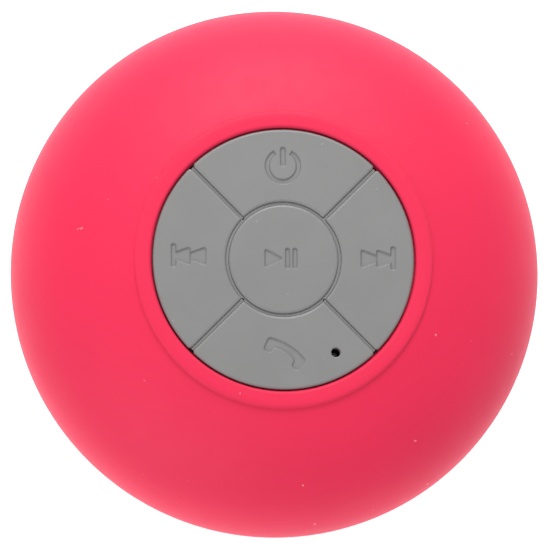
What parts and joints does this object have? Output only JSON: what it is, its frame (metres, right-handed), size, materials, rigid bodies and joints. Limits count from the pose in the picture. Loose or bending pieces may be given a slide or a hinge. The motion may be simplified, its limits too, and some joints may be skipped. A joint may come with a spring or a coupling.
{
  "type": "shower speaker",
  "caption": "Round water-resistant speaker with a domed body, a ringed keypad on its face and a suction cup that sticks it to a smooth wall.",
  "frame": {"origin": "centre of the suction cup's sealing face", "axes": "+Z away from the wall, through the keypad; +Y towards the power key"},
  "size_m": [0.086, 0.086, 0.054],
  "materials": {
    "shell_pink": "soft-touch rubber paint, satin",
    "cover_pink": "moulded silicone, matte",
    "cup_pink": "moulded silicone, satin",
    "keypad_grey": "moulded silicone, matte",
    "black_rubber": "matte",
    "black_plastic": "moulded, fine texture",
    "ivory_plastic": "moulded nylon",
    "circuit_board": "solder-masked glass fibre",
    "steel": "zinc-plated",
    "copper": "enamelled wire",
    "former_paper": "varnished kraft paper",
    "cone_paper": "black pressed pulp",
    "spider_cloth": "resin-stiffened cloth",
    "mesh_cloth": "fine water-repelling weave",
    "ferrite": "dark sintered ferrite",
    "cell_foil": "laminated pouch foil",
    "tape": "adhesive tape",
    "led_lens": "clear resin",
    "capacitor_sleeve": "shrink sleeve",
    "terminal_board": "phenolic sheet",
    "lead_insulation": "silicone insulation"
  },
  "bodies": {
    "suction_cup": {"suction_cup": "cup_pink"},
    "cup_core": {"cup_stud": "black_plastic", "stud_washer": "steel", "stud_screw": "steel", "stud_seal": "black_rubber"},
    "speaker_body": {"acoustic_mesh": "mesh_cloth", "battery_cell": "cell_foil", "battery_leads": "lead_insulation", "battery_tape": "tape", "board_capacitors": "capacitor_sleeve", "board_chips": "black_plastic", "board_screws": "steel", "call_key_web": "keypad_grey", "case_screws": "steel", "charge_board": "circuit_board", "charge_leads": "lead_insulation", "charge_port_shell": "steel", "charge_port_tongue": "black_plastic", "driver_frame": "black_plastic", "driver_front_plate": "steel", "driver_gasket": "black_rubber", "driver_leads": "lead_insulation", "driver_magnet": "ferrite", "driver_spider": "spider_cloth", "driver_surround": "black_rubber", "driver_terminal": "terminal_board", "driver_yoke": "steel", "keypad_membrane": "keypad_grey", "lead_connectors": "ivory_plastic", "lower_shell": "shell_pink", "main_board": "circuit_board", "microphone_boot": "black_rubber", "microphone_capsule": "steel", "next_key_web": "keypad_grey", "play_pause_key_web": "keypad_grey", "port_cover_anchor": "cover_pink", "power_key_web": "keypad_grey", "previous_key_web": "keypad_grey", "radio_module": "steel", "shell_seal": "black_rubber", "status_led": "led_lens", "switch_bases": "black_plastic", "switch_covers": "steel", "upper_shell": "shell_pink"},
    "port_cover": {"port_cover": "cover_pink"},
    "cone_assembly": {"driver_cone": "cone_paper", "dust_cap": "cone_paper", "coil_former": "former_paper", "coil_winding": "copper"},
    "power_key": {"power_key": "keypad_grey"},
    "power_switch_plunger": {"power_switch_plunger": "black_plastic"},
    "previous_key": {"previous_key": "keypad_grey"},
    "previous_switch_plunger": {"previous_switch_plunger": "black_plastic"},
    "play_pause_key": {"play_pause_key": "keypad_grey"},
    "play_pause_switch_plunger": {"play_pause_switch_plunger": "black_plastic"},
    "next_key": {"next_key": "keypad_grey"},
    "next_switch_plunger": {"next_switch_plunger": "black_plastic"},
    "call_key": {"call_key": "keypad_grey"},
    "call_switch_plunger": {"call_switch_plunger": "black_plastic"}
  },
  "joints": [
    {"name": "cup_press", "type": "slide", "parent": "suction_cup", "child": "cup_core", "axis": [0, 0, -1], "range_m": [0, 0.003], "stiffness_N_per_m": 8000, "springref_m": -0.00015, "deforming": ["suction_cup"]},
    {"name": "cup_swivel", "type": "hinge", "parent": "cup_core", "child": "speaker_body", "pos_m": [0, 0, 0.0136], "axis": [0, 0, 1], "continuous": true},
    {"name": "cone_stroke", "type": "slide", "parent": "speaker_body", "child": "cone_assembly", "axis": [0, 0, -1], "range_m": [-0.0008, 0.0008], "stiffness_N_per_m": 1500, "deforming": ["driver_surround", "driver_spider"]},
    {"name": "port_cover_hinge", "type": "hinge", "parent": "speaker_body", "child": "port_cover", "pos_m": [0.00685, -0.04079, 0.02521], "axis": [0, -0.4226, 0.9063], "range_deg": [0, 110], "stiffness_Nm_per_rad": 0.0004},
    {"name": "power_key_press", "type": "slide", "parent": "speaker_body", "child": "power_key", "axis": [0, 0, -1], "range_m": [0, 0.0005], "stiffness_N_per_m": 3000, "deforming": ["power_key_web"]},
    {"name": "power_switch_press", "type": "slide", "parent": "speaker_body", "child": "power_switch_plunger", "axis": [0, 0, -1], "range_m": [0, 0.0003]},
    {"name": "previous_key_press", "type": "slide", "parent": "speaker_body", "child": "previous_key", "axis": [0, 0, -1], "range_m": [0, 0.0005], "stiffness_N_per_m": 3000, "deforming": ["previous_key_web"]},
    {"name": "previous_switch_press", "type": "slide", "parent": "speaker_body", "child": "previous_switch_plunger", "axis": [0, 0, -1], "range_m": [0, 0.0003]},
    {"name": "play_pause_key_press", "type": "slide", "parent": "speaker_body", "child": "play_pause_key", "axis": [0, 0, -1], "range_m": [0, 0.0005], "stiffness_N_per_m": 3000, "deforming": ["play_pause_key_web"]},
    {"name": "play_pause_switch_press", "type": "slide", "parent": "speaker_body", "child": "play_pause_switch_plunger", "axis": [0, 0, -1], "range_m": [0, 0.0003]},
    {"name": "next_key_press", "type": "slide", "parent": "speaker_body", "child": "next_key", "axis": [0, 0, -1], "range_m": [0, 0.0005], "stiffness_N_per_m": 3000, "deforming": ["next_key_web"]},
    {"name": "next_switch_press", "type": "slide", "parent": "speaker_body", "child": "next_switch_plunger", "axis": [0, 0, -1], "range_m": [0, 0.0003]},
    {"name": "call_key_press", "type": "slide", "parent": "speaker_body", "child": "call_key", "axis": [0, 0, -1], "range_m": [0, 0.0005], "stiffness_N_per_m": 3000, "deforming": ["call_key_web"]},
    {"name": "call_switch_press", "type": "slide", "parent": "speaker_body", "child": "call_switch_plunger", "axis": [0, 0, -1], "range_m": [0, 0.0003]}
  ],
  "couplings": [
    {"joint": "power_switch_press", "follows": "power_key_press", "ratio": 0.6},
    {"joint": "previous_switch_press", "follows": "previous_key_press", "ratio": 0.6},
    {"joint": "play_pause_switch_press", "follows": "play_pause_key_press", "ratio": 0.6},
    {"joint": "next_switch_press", "follows": "next_key_press", "ratio": 0.6},
    {"joint": "call_switch_press", "follows": "call_key_press", "ratio": 0.6}
  ]
}
